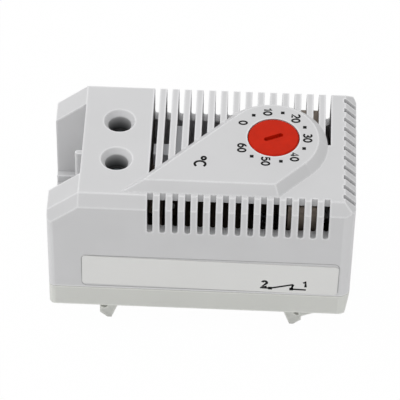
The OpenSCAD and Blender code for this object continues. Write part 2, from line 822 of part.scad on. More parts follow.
// Space for the latch and its travel in the underside of the base
module latch_pocket() {
    block(latch_x0 - latch_side, latch_x1 + latch_travel + latch_side, -latch_w/2 - latch_side,
        latch_w/2 + latch_side, -cut, pocket_z);
    block(latch_x0 - latch_side, latch_x1 + latch_travel + latch_side,
        -latch_w/2 - latch_flange - latch_side, latch_w/2 + latch_flange + latch_side,
        latch_top - latch_flange_t - latch_side, pocket_z);
    block(cross_x0 - latch_side, cross_x1 + gusset_l + latch_travel + latch_side, -hook_y1 - latch_side,
        hook_y1 + latch_side, -cut, pocket_z);
    // Groove over the spring and the lug that pushes it
    block(latch_x0 - latch_side, spring_stop_x + spring_stop_t + latch_side, -window_w/2 - latch_side,
        window_w/2 + latch_side, -cut, spring_groove_z);
}

module rail_latch() {
    color([0.7, 0.7, 0.69]) difference() {
        union() {
            block(latch_x0, latch_x1, -latch_w/2, latch_w/2, latch_gap, latch_top);
            block(latch_x0, latch_x1, -latch_w/2 - latch_flange, latch_w/2 + latch_flange,
                latch_top - latch_flange_t, latch_top);
            block(cross_x0, cross_x1, -hook_y1, hook_y1, latch_gap, latch_top);
            hook_pair(rail_edge_1 + hook_clear + hook_root, -1, latch_top - latch_t/2);
            // Ribs behind the hooks
            for (s = [-1, 1])
                along_y(s > 0 ? hook_y1 - gusset_t : -hook_y1, s > 0 ? hook_y1 : gusset_t - hook_y1)
                    polygon([[cross_x1 - latch_side - cut, latch_top], [cross_x1 + gusset_l, latch_top],
                        [cross_x1 + gusset_l, -gusset_high], [cross_x1 - latch_side - cut, -gusset_low]]);
            // Lip for a screwdriver
            block(latch_x1 - pull_t, latch_x1, -pull_w/2, pull_w/2, -pull_h, latch_top);
            // Face that pushes the spring
            block(window_x0 - thrust_t, window_x0, -window_w/2, window_w/2, latch_gap, thrust_top);
        }
        block(window_x0, window_x1, -window_w/2, window_w/2, -hook_depth, floor_t);
    }
}

// Point of a helix, t from 0 to 1, and the ring of wire round it
function helix_point(t, turns, d, h) = [d/2*cos(360*turns*t), d/2*sin(360*turns*t), h*t];
function unit(v) = v/norm(v);
function helix_ring(t, turns, d, h, wire) =
    let (p = helix_point(t, turns, d, h), out = unit([p[0], p[1], 0]),
        dir = unit([-p[1]*2*PI*turns, p[0]*2*PI*turns, h]), up = cross(dir, out))
    [for (k = [0:coil_sides - 1]) p + wire/2*(cos(360*k/coil_sides)*out + sin(360*k/coil_sides)*up)];

// Least gap between two curls, measured from point to point
function coil_gap(turns, d, h, wire) =
    let (n = turns*coil_rings, p = [for (i = [0:n]) helix_point(i/n, turns, d, h)])
    min([for (i = [0:n], j = [i + coil_rings/2:1:n]) norm(p[i] - p[j])]) - wire;

// One unbroken tube of wire with square ends
module helix_tube(turns, d, h, wire) {
    rings = turns*coil_rings;
    points = [for (i = [0:rings]) each helix_ring(i/rings, turns, d, h, wire)];
    faces = concat([[for (k = [0:coil_sides - 1]) k]],
        [for (i = [0:rings - 1], k = [0:coil_sides - 1], half = [0, 1])
            let (a = i*coil_sides + k, b = i*coil_sides + (k + 1)%coil_sides)
            half == 0 ? [a, a + coil_sides, b] : [b, a + coil_sides, b + coil_sides]],
        [[for (k = [coil_sides - 1:-1:0]) rings*coil_sides + k]]);
    polyhedron(points, faces);
}

echo(latch_spring_gap = coil_gap(latch_turns, latch_coil_d, latch_spring_l - latch_wire, latch_wire));
echo(lever_spring_gap = coil_gap(lever_turns, lever_coil_d, lever_spring_h - lever_wire, lever_wire));

module latch_spring() {
    color([0.6, 0.6, 0.62]) translate([window_x0 + turn_fit + latch_wire/2, 0, spring_z]) rotate([0, 90, 0])
        helix_tube(latch_turns, latch_coil_d, latch_spring_l - latch_wire, latch_wire);
}

module lever_spring() {
    color([0.6, 0.6, 0.62]) translate([dial_x, dial_y, chassis_top + turn_fit + lever_wire/2])
        helix_tube(lever_turns, lever_coil_d, lever_spring_h - lever_wire, lever_wire);
}

module label_plate() {
    color([0.82, 0.82, 0.81]) translate([label_x, -y_side, label_z]) rotate([90, label_tilt, 0])
        linear_extrude(label_t) round_rect(-label_l/2, label_l/2, -label_h/2, label_h/2, label_corner);
}

module dial() {
    color([0.75, 0.15, 0.1]) translate([dial_x, dial_y, 0]) difference() {
        union() {
            rod(0, 0, dial_z, dial_top_z - dial_bevel, dial_d);
            translate([0, 0, dial_top_z - dial_bevel])
                cylinder(h = dial_bevel, d1 = dial_d, d2 = dial_d - 2*dial_bevel);
        }
        rotate(dial_angle) translate([0, 0, dial_top_z - dial_slot_h]) linear_extrude(dial_slot_h + cut) {
            translate([-dial_slot_l/2 + dial_slot_w/2, -dial_slot_w/2])
                square([dial_slot_l - dial_slot_w, dial_slot_w]);
            for (s = [-1, 1]) translate([s*(dial_slot_l - dial_slot_w)/2, 0]) circle(d = dial_slot_w);
        }
        // Square seat of the spindle
        rotate(dial_angle) translate([-spindle_d/2, -spindle_d/2, dial_z - cut])
            cube([spindle_d, spindle_d, cut + seat_h]);
    }
}

module dial_spindle() {
    color([0.72, 0.6, 0.3]) translate([dial_x, dial_y, 0]) {
        rotate(dial_angle) translate([-spindle_d/2, -spindle_d/2, dial_z - cut])
            cube([spindle_d, spindle_d, cut + seat_h]);
        rod(0, 0, clip_z + clip_t, dial_z, journal_d);
        rod(0, 0, clip_z - cut, clip_z + clip_t + cut, neck_d);
        rod(0, 0, journal_z, clip_z, journal_d);
        rod(0, 0, spindle_tip_z, journal_z + cut, spindle_d);
    }
}

module spindle_clip() {
    color([0.45, 0.45, 0.47]) translate([dial_x, dial_y, clip_z]) difference() {
        cylinder(h = clip_t, d = journal_d + 2*clip_band);
        translate([0, 0, -cut]) cylinder(h = clip_t + 2*cut, d = neck_d);
        translate([-clip_mouth/2, 0, -cut]) cube([clip_mouth, journal_d, clip_t + 2*cut]);
    }
}

module friction_washer() {
    color([0.62, 0.62, 0.64]) translate([dial_x, dial_y, dial_floor_z]) difference() {
        cylinder(h = washer_t, d = dial_d - 2*washer_inset);
        translate([0, 0, -cut]) cylinder(h = washer_t + 2*cut, d = journal_d + 2*slide_fit);
    }
}

module setting_nut() {
    color([0.85, 0.83, 0.76]) difference() {
        union() {
            block(dial_x - nut_l/2, dial_x + nut_l/2, dial_y - nut_w/2, dial_y + nut_w/2, nut_z,
                nut_z + nut_h);
            cross_rod(lever_x0, lever_x1, dial_y, nut_z, 2*nut_nose_r);
        }
        rod(dial_x, dial_y, nut_bore_z, nut_z + nut_h + cut, spindle_d + 2*turn_fit);
    }
}

module setting_lever() {
    color([0.68, 0.68, 0.7]) difference() {
        union() {
            block(lever_x0, lever_x1, lever_y0, lever_y1, lever_z, lever_top_z);
            block(lever_x1 - cut, lever_tab_x1, lever_tab_y, lever_y1, lever_z, lever_top_z);
            for (x = [lever_x0, lever_x1 - lever_lug_t])
                block(x, x + lever_lug_t, lever_pin_y - ear_w/2, lever_pin_y + ear_w/2,
                    lever_z - lever_lug_h, lever_z + lever_t/2);
        }
        cross_rod(lever_x0 - cut, lever_x1 + cut, lever_pin_y, lever_pin_z, lever_pin_d + 2*turn_fit);
        rod(strip_xm, calib_y, lever_z - cut, lever_top_z + cut, calib_d);
    }
}

module lever_pin() {
    color([0.55, 0.55, 0.57])
        cross_rod(lever_ears[0], lever_ears[1] + ear_t, lever_pin_y, lever_pin_z, lever_pin_d);
}

module calibration_screw() {
    color([0.72, 0.6, 0.3]) difference() {
        union() {
            rod(strip_xm, calib_y, calib_tip_z, calib_tip_z + calib_tip_h + cut, calib_tip_d);
            rod(strip_xm, calib_y, calib_tip_z + calib_tip_h, calib_head_z + cut, calib_d);
            rod(strip_xm, calib_y, calib_head_z, calib_head_z + calib_head_h, calib_head_d);
        }
        block(strip_xm - calib_head_d, strip_xm + calib_head_d, calib_y - calib_slot_w/2,
            calib_y + calib_slot_w/2, calib_head_z + calib_head_h/2, calib_head_z + calib_head_h + cut);
    }
}

// U-shaped strip: foot on the carrier, far leg, web under the top plate, near leg, contact foot
module bimetal_strip() {
    color([0.4, 0.37, 0.34]) difference() {
        along_x(strip_x0, strip_x1) {
            difference() {
                round_rect(strip_near_y, strip_far_y, foot_z, strip_top, strip_bend);
                round_rect(strip_near_y + strip_t, strip_far_y - strip_t, foot_z + strip_t,
                    strip_top - strip_t, strip_bend - strip_t);
                translate([strip_near_y - cut, foot_z - cut])
                    square([foot_y0 - strip_near_y + cut, near_foot_z + strip_bend - foot_z + cut]);
            }
            difference() {
                round_rect(strip_near_y, near_foot_y1 + strip_bend, near_foot_z,
                    near_foot_z + 3*strip_bend, strip_bend);
                round_rect(strip_near_y + strip_t, near_foot_y1 + 2*strip_bend, near_foot_z + strip_t,
                    near_foot_z + 4*strip_bend, strip_bend - strip_t);
                translate([strip_near_y - cut, near_foot_z + strip_bend])
                    square([housing_w, 4*strip_bend]);
                translate([near_foot_y1, near_foot_z - cut]) square([4*strip_bend, 4*strip_bend]);
            }
        }
        for (x = rivet_x) rod(x, rivet_y, foot_z - cut, foot_top_z + cut, rivet_d);
        rod(strip_xm, armature_y, near_foot_z - cut, near_foot_top_z + cut, rivet_d);
        rod(strip_xm, contact_y, near_foot_z - cut, near_foot_top_z + cut, button_tail_d);
    }
}

module bimetal_carrier() {
    color([0.72, 0.6, 0.3]) difference() {
        block(strip_xm - carrier_half, strip_xm + carrier_half, carrier_y0, carrier_y1, carrier_z0, foot_z);
        cross_rod(strip_x0 - cut, strip_x1 + cut, carrier_y, carrier_z, carrier_pin_d + 2*turn_fit);
        for (x = rivet_x) rod(x, rivet_y, carrier_z0 - cut, foot_z + cut, rivet_d);
    }
}

module carrier_pin() {
    color([0.55, 0.55, 0.57])
        cross_rod(carrier_ears[0], carrier_ears[1] + ear_t, carrier_y, carrier_z, carrier_pin_d);
}

// Rivet through z0 to z1 with a head above, and a closed tail below where it has one
module rivet(x, y, z0, z1, tail_h) {
    rod(x, y, z0 - tail_h, z1 + rivet_head_h, rivet_d);
    rod(x, y, z1, z1 + rivet_head_h, rivet_head_d);
    if (tail_h > 0) rod(x, y, z0 - tail_h, z0, rivet_head_d);
}

module bimetal_rivets() {
    color([0.66, 0.66, 0.68]) {
        for (x = rivet_x) rivet(x, rivet_y, carrier_z0, foot_top_z, rivet_head_h);
        rivet(strip_xm, armature_y, near_foot_z - armature_t, near_foot_top_z, 0);
    }
}

module armature() {
    color([0.5, 0.5, 0.52]) difference() {
        block(strip_xm - armature_half, strip_xm + armature_half, armature_y - armature_w/2,
            armature_y + armature_w/2, near_foot_z - armature_t, near_foot_z);
        rod(strip_xm, armature_y, near_foot_z - armature_t - cut, near_foot_z + cut, rivet_d);
    }
}

module moving_contact() {
    color([0.86, 0.86, 0.88]) {
        rod(strip_xm, contact_y, near_foot_z - button_h, near_foot_z, button_d);
        rod(strip_xm, contact_y, near_foot_z - button_h, near_foot_top_z + rivet_head_h, button_tail_d);
    }
}

module fixed_contact() {
    color([0.86, 0.86, 0.88]) {
        rod(strip_xm, contact_y, run_top_z, fixed_top, button_d);
        rod(strip_xm, contact_y, block_z, fixed_top, button_tail_d);
    }
}

module magnet() {
    color([0.3, 0.3, 0.32]) block(strip_xm - magnet_half, strip_xm + magnet_half,
        armature_y - magnet_w/2, armature_y + magnet_w/2, magnet_z0, magnet_z0 + magnet_h);
}

// Moulded block that carries the fixed contact and the magnet
module contact_block() {
    color([0.25, 0.22, 0.2]) difference() {
        block(strip_x0 - contact_skirt, strip_x1 + contact_skirt, contact_y - contact_back, block_y1,
            floor_t, block_z);
        block(strip_xm - magnet_half - magnet_fit, strip_xm + magnet_half + magnet_fit,
            armature_y - magnet_w/2 - magnet_fit, armature_y + magnet_w/2 + magnet_fit,
            magnet_z0, block_z + cut);
    }
}

// Pressed-steel plate with two pairs of upright ears
module chassis() {
    color([0.66, 0.67, 0.69]) difference() {
        union() {
            block(chassis_x0, chassis_x1, chassis_y0, chassis_y1, chassis_z, chassis_top);
            for (x = lever_ears) block(x, x + ear_t, lever_pin_y - ear_w/2, lever_pin_y + ear_w/2,
                chassis_z, lever_pin_z + ear_head);
            for (x = carrier_ears) block(x, x + ear_t, carrier_y - ear_w/2, carrier_y + ear_w/2,
                chassis_z, foot_z - slide_fit);
            rod(dial_x, dial_y, chassis_z, chassis_top + stud_h, stud_d);
        }
        for (p = posts) rod(p[0], p[1], chassis_z - cut, chassis_top + cut, chassis_screw_d + 2*turn_fit);
        cross_rod(lever_x0 - 2*ear_t, lever_x1 + 2*ear_t, lever_pin_y, lever_pin_z, lever_pin_d);
        cross_rod(strip_x0 - 2*ear_t, strip_x1 + 2*ear_t, carrier_y, carrier_z, carrier_pin_d);
        rod(bar_rivet_x, term_y, chassis_z - cut, chassis_top + cut, bar_rivet_d);
    }
}

module chassis_screws() {
    color([0.6, 0.6, 0.62]) for (p = posts) difference() {
        union() {
            rod(p[0], p[1], chassis_z - chassis_pilot_h + chassis_tip_gap, chassis_top + cut,
                chassis_screw_d);
            rod(p[0], p[1], chassis_top, chassis_top + chassis_head_h, chassis_head_d);
        }
        for (a = [0, 90]) translate([p[0], p[1], chassis_top + chassis_head_h/2]) rotate(a)
            translate([-chassis_head_d/4, -driver_slot_w/4, 0])
                cube([chassis_head_d/2, driver_slot_w/2, chassis_head_h]);
    }
}

// Rivet that joins the far terminal bar to the chassis
module bar_rivet() {
    color([0.66, 0.66, 0.68]) {
        rod(bar_rivet_x, term_y, chassis_z, chassis_top + bar_t + rivet_head_h, bar_rivet_d);
        rod(bar_rivet_x, term_y, chassis_top + bar_t, chassis_top + bar_t + rivet_head_h, bar_rivet_head_d);
    }
}

// Part of a terminal bar that lies in its clamp and passes through the block's wall
module bar_head(y) {
    block(bar_x0, bar_drop_x + bar_t, y - bar_w/2, y + bar_w/2, bar_z, bar_top_z);
}

// Near bar: down beside the block, then along the near wall to the fixed contact
module terminal_bar_1() {
    color([0.78, 0.66, 0.36]) difference() {
        union() {
            bar_head(-term_y);
            block(bar_drop_x, bar_drop_x + bar_t, contact_y - bar_run_w/2, bar_w/2 - term_y,
                bar_z - bar_t, bar_top_z);
            block(bar_drop_x, bar_drop_x + bar_t, contact_y - bar_run_w/2, contact_y + bar_run_w/2,
                block_z, bar_top_z);
            block(bar_drop_x, strip_xm + button_d/2, contact_y - bar_run_w/2, contact_y + bar_run_w/2,
                block_z, run_top_z);
        }
        rod(strip_xm, contact_y, block_z - cut, run_top_z + cut, button_tail_d);
    }
}

// Far bar: down beside the block to a foot on the chassis
module terminal_bar_2() {
    color([0.78, 0.66, 0.36]) difference() {
        union() {
            bar_head(term_y);
            block(bar_drop_x, bar_drop_x + bar_t, term_y - bar_w/2, term_y + bar_w/2, chassis_top,
                bar_top_z);
            block(bar_drop_x, bar_foot_x1, term_y - bar_w/2, term_y + bar_w/2, chassis_top,
                chassis_top + bar_t);
        }
        rod(bar_rivet_x, term_y, chassis_top - cut, chassis_top + bar_t + cut, bar_rivet_d);
    }
}

module terminal_screw(s) {
    color([0.7, 0.71, 0.73]) difference() {
        union() {
            rod(term_x, s*term_y, screw_tip_z, head_z + cut, clamp_screw_d);
            rod(term_x, s*term_y, head_z, head_top_z, clamp_head_d);
        }
        block(term_x - clamp_head_d, term_x + clamp_head_d, s*term_y - driver_slot_w/2,
            s*term_y + driver_slot_w/2, head_top_z - driver_slot_h, head_top_z + cut);
    }
}
module terminal_screw_1() { terminal_screw(-1); }
module terminal_screw_2() { terminal_screw(1); }

// Clamp cage: a square tube round the bar, threaded for its screw
module clamp_cage(s) {
    color([0.68, 0.69, 0.71]) translate([term_x, s*term_y, 0]) difference() {
        block(-cage_l/2, cage_l/2, -cage_w/2, cage_w/2, cage_z0, cage_z1);
        block(-cage_l/2 - cut, cage_l/2 + cut, cage_t - cage_w/2, cage_w/2 - cage_t, cage_z0 + cage_t,
            cage_z1 - cage_t);
        rod(0, 0, cage_z1 - cage_t - cut, cage_z1 + cut, clamp_screw_d + 2*turn_fit);
    }
}
module clamp_cage_1() { clamp_cage(-1); }
module clamp_cage_2() { clamp_cage(1); }

// Moulded barrier between the terminals and the mechanism, with a thick head and a web to the block
module insulating_barrier() {
    color([0.8, 0.8, 0.8]) {
        block(barrier_x0, barrier_x0 + barrier_t, barrier_y0, barrier_y0 + barrier_w, chassis_top,
            barrier_top);
        block(barrier_x0 - barrier_head_in, barrier_x0 + cut, barrier_y0, barrier_y0 + barrier_w,
            barrier_top - barrier_head_h, barrier_top);
        block(block_x + barrier_web_gap, barrier_x0 + cut, barrier_web_y0, barrier_web_y0 + barrier_web_w,
            barrier_top - barrier_web_h, barrier_top);
    }
}

housing();
base();
label_plate();
dial();
dial_spindle();
spindle_clip();
friction_washer();
setting_nut();
setting_lever();
lever_pin();
lever_spring();
calibration_screw();
bimetal_strip();
bimetal_carrier();
carrier_pin();
bimetal_rivets();
armature();
moving_contact();
fixed_contact();
magnet();
contact_block();
chassis();
chassis_screws();
bar_rivet();
terminal_bar_1();
terminal_bar_2();
terminal_screw_1();
terminal_screw_2();
clamp_cage_1();
clamp_cage_2();
insulating_barrier();
rail_latch();
latch_spring();
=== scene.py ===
import json
import math
import bpy
from mathutils import Matrix, Vector

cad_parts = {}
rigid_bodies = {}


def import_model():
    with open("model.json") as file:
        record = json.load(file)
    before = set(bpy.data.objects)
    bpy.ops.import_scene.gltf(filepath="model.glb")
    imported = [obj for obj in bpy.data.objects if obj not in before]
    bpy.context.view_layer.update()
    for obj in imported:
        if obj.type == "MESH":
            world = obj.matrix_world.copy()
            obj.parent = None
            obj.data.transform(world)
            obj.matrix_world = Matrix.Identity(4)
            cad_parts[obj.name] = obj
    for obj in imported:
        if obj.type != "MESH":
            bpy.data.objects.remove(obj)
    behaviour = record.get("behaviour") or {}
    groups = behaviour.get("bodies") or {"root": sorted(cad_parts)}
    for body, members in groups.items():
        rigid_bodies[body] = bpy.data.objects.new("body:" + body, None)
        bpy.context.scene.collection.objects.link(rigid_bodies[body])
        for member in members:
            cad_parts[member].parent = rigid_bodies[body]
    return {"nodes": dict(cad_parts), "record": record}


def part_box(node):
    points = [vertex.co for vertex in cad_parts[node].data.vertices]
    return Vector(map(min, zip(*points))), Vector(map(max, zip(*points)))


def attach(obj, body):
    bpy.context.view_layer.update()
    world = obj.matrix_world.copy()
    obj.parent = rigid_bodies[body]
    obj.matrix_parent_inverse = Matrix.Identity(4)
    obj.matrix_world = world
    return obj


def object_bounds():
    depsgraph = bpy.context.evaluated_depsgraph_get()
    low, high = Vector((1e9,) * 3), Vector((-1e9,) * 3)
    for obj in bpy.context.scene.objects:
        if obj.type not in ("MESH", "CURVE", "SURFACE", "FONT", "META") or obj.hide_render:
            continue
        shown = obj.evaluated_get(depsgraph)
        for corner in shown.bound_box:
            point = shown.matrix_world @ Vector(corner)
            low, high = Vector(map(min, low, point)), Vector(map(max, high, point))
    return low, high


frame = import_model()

mm = 0.001
cadBox = [list(corner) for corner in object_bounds()]
nodes = frame["nodes"]
print("stage 1: frame loaded,", len(nodes), "nodes")


# Colours are noted as they look on a screen, from 0 to 255, and the screen's own curve is undone here
def colour(red, green, blue):
    def linear(value):
        share = value / 255
        return share / 12.92 if share <= 0.04045 else ((share + 0.055) / 1.055) ** 2.4
    return (linear(red), linear(green), linear(blue), 1.0)


def tinted(tone, share):
    return (tone[0] * share, tone[1] * share, tone[2] * share, 1.0)


# One socket of a node tree, with arithmetic
class Value:
    def __init__(self, tree, socket):
        self.tree = tree
        self.socket = socket

    def maths(self, operation, *parts):
        node = self.tree.nodes.new("ShaderNodeMath")
        node.operation = operation
        for slot, part in zip(node.inputs, parts):
            if isinstance(part, Value):
                self.tree.links.new(part.socket, slot)
            else:
                slot.default_value = part
        return Value(self.tree, node.outputs[0])

    def __add__(self, other): return self.maths("ADD", self, other)
    def __radd__(self, other): return self.maths("ADD", other, self)
    def __sub__(self, other): return self.maths("SUBTRACT", self, other)
    def __rsub__(self, other): return self.maths("SUBTRACT", other, self)
    def __mul__(self, other): return self.maths("MULTIPLY", self, other)
    def __rmul__(self, other): return self.maths("MULTIPLY", other, self)
    def __gt__(self, other): return self.maths("GREATER_THAN", self, other)
    def __lt__(self, other): return self.maths("LESS_THAN", self, other)
    def __pow__(self, other): return self.maths("POWER", self, other)
    def __abs__(self): return self.maths("ABSOLUTE", self)
    def atMost(self, other): return self.maths("MINIMUM", self, other)
    def atLeast(self, other): return self.maths("MAXIMUM", self, other)
    def cosine(self): return self.maths("COSINE", self)
    def sine(self): return self.maths("SINE", self)


# A node tree in the making; every node but sums comes from its node method
class NodeTree:
    # Sockets are filled by name, with _ for a space, or by place where names repeat
    def node(self, kind, settings=None, output=0, stops=(), places=None, **sockets):
        made = self.tree.nodes.new(kind)
        for name, value in (settings or {}).items():
            setattr(made, name, value)
        for count, (place, tint) in enumerate(stops):
            if count == len(made.color_ramp.elements):
                made.color_ramp.elements.new(place)
            made.color_ramp.elements[count].position = place
            made.color_ramp.elements[count].color = tint
        for place, value in (places or {}).items():
            self.fill(made.inputs[place], value)
        for name, value in sockets.items():
            self.fill(made.inputs[name.replace("_", " ")], value)
        return Value(self.tree, made.outputs[output]) if made.outputs else made

    # Several outputs of one node
    def several(self, kind, outputs, **sockets):
        made = self.node(kind, **sockets).socket.node
        return [Value(self.tree, made.outputs[output]) for output in outputs]

    def fill(self, slot, value):
        if isinstance(value, Value):
            self.tree.links.new(value.socket, slot)
        else:
            slot.default_value = value


# Noise detail, how the two tones of a finish meet, and how rounded edges are sampled
surface = {"fineDetail": 4.0, "middleDetail": 3.0, "coarseDetail": 2.0, "darkUntil": 0.35, "lightFrom": 0.65,
           "plasticWander": 0.12, "metalWander": 0.25, "plainGloss": 0.5, "bevelSamples": 4}
# Painted highlight: outer edges of pale mouldings are drawn lighter in colour, as if they caught the light; inner
# corners are not
paintedEdgeHighlight = {"width": 0.55 * mm, "share": (1.55, 1.55, 1.55, 1), "power": 0.25, "samples": 6, "openAbove": 0.99}


# The shader tree of a material or of the world
class Finish(NodeTree):
    def __init__(self, owner, shader="Principled BSDF"):
        self.material = owner
        owner.use_nodes = True
        self.tree = owner.node_tree
        self.shader = self.tree.nodes[shader]

    def set(self, name, value):
        self.fill(self.shader.inputs[name], value)

    def place(self):
        return self.node("ShaderNodeTexCoord", output="Object")

    def axes(self):
        return self.several("ShaderNodeSeparateXYZ", "XYZ", Vector=self.place())

    # 1 on camera, mirror and glass rays
    def seen(self):
        rays = ("Is Camera Ray", "Is Glossy Ray", "Is Transmission Ray")
        camera, mirror, glass = self.several("ShaderNodeLightPath", rays)
        return camera.atLeast(mirror).atLeast(glass)

    def noise(self, size, detail, stretch=None):
        where = self.place()
        if stretch:
            where = self.node("ShaderNodeMapping", Vector=where, Scale=stretch)
        return self.node("ShaderNodeTexNoise", Vector=where, Scale=1 / size, Detail=detail)

    def shades(self, mask, dark, light):
        stops = [(surface["darkUntil"], dark), (surface["lightFrom"], light)]
        return self.node("ShaderNodeValToRGB", stops=stops, Fac=mask)

    def mottled(self, mask, look):
        return self.shades(mask, tinted(look["tone"], 1 - look["mottle"]), tinted(look["tone"], 1 + look["mottle"]))

    # A colour times a share where the mask is 1; a colour Mix node has its mask at 0, its colours at 6 and 7
    def shaded(self, tone, mask, share):
        settings = {"data_type": "RGBA", "blend_type": "MULTIPLY"}
        return self.node("ShaderNodeMix", settings, output=2, places={0: mask, 6: tone, 7: share})

    def rounded(self, radius):
        return self.node("ShaderNodeBevel", {"samples": surface["bevelSamples"]}, Radius=radius)

    # How far the surface turns near an outer edge, and 0 in inner corners; the mask of the painted edge highlight
    def edgeHighlightMask(self):
        flat = self.node("ShaderNodeNewGeometry", output="Normal")
        alike = self.node("ShaderNodeVectorMath", {"operation": "DOT_PRODUCT"}, output="Value",
                          places={0: self.rounded(paintedEdgeHighlight["width"]), 1: flat})
        clear = self.node("ShaderNodeAmbientOcclusion", {"samples": paintedEdgeHighlight["samples"]}, output="AO",
                          Distance=paintedEdgeHighlight["width"])
        return (1 - alike) ** paintedEdgeHighlight["power"] * (clear > paintedEdgeHighlight["openAbove"])

    # Small relief on softly rounded edges
    def relief(self, mask, look):
        self.set("Normal", self.node("ShaderNodeBump", Height=mask, Distance=look["depth"], Strength=1.0,
                                     Normal=self.rounded(look["edge"])))


# Painted shade where light hardly reaches: inside the cover, and down the two screwdriver holes
hollow = {"left": -10.7 * mm, "right": 28.4 * mm, "halfWidth": 14.45 * mm, "bottom": 1.9 * mm, "top": 28.7 * mm,
          "share": (0.1, 0.08, 0.066, 1)}
paintedHoleShade = {"x": -16.9 * mm, "y": 5.2 * mm, "radius": 2.36 * mm, "rim": 29.8 * mm, "ledge": 26.4 * mm, "power": 0.7,
        "share": (0.1, 0.1, 0.1, 1)}


# 1 inside the cover, where the shade is painted
def hollowMask(finish):
    x, y, z = finish.axes()
    inside = (abs(y) < hollow["halfWidth"]) * (x > hollow["left"]) * (x < hollow["right"])
    return inside * (z < hollow["top"]) * (z > hollow["bottom"])


# Painted shade down the screwdriver holes: grows darker from the rim down to the ledge
def paintedHoleShadeMask(finish):
    x, y, z = finish.axes()
    distance = ((x - paintedHoleShade["x"]) ** 2 + (abs(y) - paintedHoleShade["y"]) ** 2) ** 0.5
    depth = (paintedHoleShade["rim"] - z) * (1 / (paintedHoleShade["rim"] - paintedHoleShade["ledge"]))
    return (distance < paintedHoleShade["radius"]) * (z < paintedHoleShade["rim"]) * (depth ** paintedHoleShade["power"]).atMost(1.0)


# Spark-eroded moulded plastic: fine grain and faint flow marks; with hollow also a painted highlight on outer edges
# and painted shade inside
def mouldedPlastic(name, look):
    finish = Finish(bpy.data.materials.new(name))
    grain = finish.noise(look["grain"], surface["fineDetail"])
    tone = finish.mottled(finish.noise(look["flow"], surface["coarseDetail"]), look)
    if look.get("hollow"):
        # Painted highlight: outer edges drawn lighter in colour
        tone = finish.shaded(tone, finish.edgeHighlightMask(), paintedEdgeHighlight["share"])
        # Painted shade inside the cover
        tone = finish.shaded(tone, hollowMask(finish), hollow["share"])
        # Painted shade down the two screwdriver holes
        tone = finish.shaded(tone, paintedHoleShadeMask(finish), paintedHoleShade["share"])
    finish.set("Base Color", tone)
    finish.set("Roughness", look["roughness"] + (grain - 0.5) * surface["plasticWander"])
    finish.set("Specular IOR Level", look.get("gloss", surface["plainGloss"]))
    finish.relief(grain, look)
    return finish.material


# Rolled, drawn or turned metal: streaks along one axis and small dull spots; with hollow also painted shade inside
# the cover
def workedMetal(name, look):
    finish = Finish(bpy.data.materials.new(name))
    streaks = finish.noise(look["grain"], surface["middleDetail"], look["stretch"])
    tone = finish.mottled(finish.noise(look["spots"], surface["coarseDetail"]), look)
    if look.get("hollow"):
        # Painted shade inside the cover
        tone = finish.shaded(tone, hollowMask(finish), hollow["share"])
    finish.set("Base Color", tone)
    finish.set("Metallic", look["metallic"])
    finish.set("Roughness", look["roughness"] + (streaks - 0.5) * surface["metalWander"])
    finish.relief(streaks, look)
    return finish.material


# Printing ink, a little uneven
ink = {"tone": colour(14, 15, 15), "grain": 0.25 * mm, "worn": 1.35, "roughness": 0.6, "wander": 0.2, "gloss": 0.12}


def printedInk(name, look):
    finish = Finish(bpy.data.materials.new(name))
    wear = finish.noise(look["grain"], surface["middleDetail"])
    finish.set("Base Color", finish.shades(wear, look["tone"], tinted(look["tone"], look["worn"])))
    finish.set("Roughness", look["roughness"] + (wear - 0.5) * look["wander"])
    finish.set("Specular IOR Level", look["gloss"])
    return finish.material


plasticLooks = {
    "coverPlastic": {"tone": colour(212, 212, 213), "mottle": 0.012, "grain": 0.16 * mm, "flow": 9 * mm,
                     "roughness": 0.4, "depth": 0.005 * mm, "edge": 0.2 * mm, "gloss": 0.3, "hollow": True},
    "basePlastic": {"tone": colour(212, 213, 208), "mottle": 0.012, "grain": 0.16 * mm, "flow": 9 * mm,
                    "roughness": 0.42, "depth": 0.005 * mm, "edge": 0.16 * mm, "hollow": True},
    "barrierPlastic": {"tone": colour(240, 242, 246), "mottle": 0.015, "grain": 0.2 * mm, "flow": 6 * mm,
                       "roughness": 0.3, "depth": 0.006 * mm, "edge": 0.1 * mm, "gloss": 1.0},
    "redPlastic": {"tone": colour(200, 36, 7), "mottle": 0.05, "grain": 0.12 * mm, "flow": 2.2 * mm,
                   "roughness": 0.46, "depth": 0.004 * mm, "edge": 0.14 * mm, "gloss": 0.09},
    "nutPlastic": {"tone": colour(226, 221, 203), "mottle": 0.02, "grain": 0.2 * mm, "flow": 4 * mm,
                   "roughness": 0.45, "depth": 0.005 * mm, "edge": 0.08 * mm},
    "darkPlastic": {"tone": colour(40, 36, 33), "mottle": 0.06, "grain": 0.18 * mm, "flow": 4 * mm,
                    "roughness": 0.5, "depth": 0.006 * mm, "edge": 0.1 * mm, "gloss": 0.2},
    "darkBoard": {"tone": colour(66, 56, 46), "mottle": 0.12, "grain": 0.3 * mm, "flow": 2 * mm,
                  "roughness": 0.62, "depth": 0.01 * mm, "edge": 0.06 * mm, "gloss": 0.2},
    "labelFilm": {"tone": colour(229, 229, 227), "mottle": 0.008, "grain": 0.5 * mm, "flow": 12 * mm,
                  "roughness": 0.34, "depth": 0.002 * mm, "edge": 0.05 * mm},
    # Painted shadow round the label, grey as the shade at its edge
    "labelShadowLine": {"tone": colour(160, 160, 160), "mottle": 0.05, "grain": 0.2 * mm, "flow": 3 * mm,
                  "roughness": 0.6, "depth": 0.002 * mm, "edge": 0.02 * mm},
}
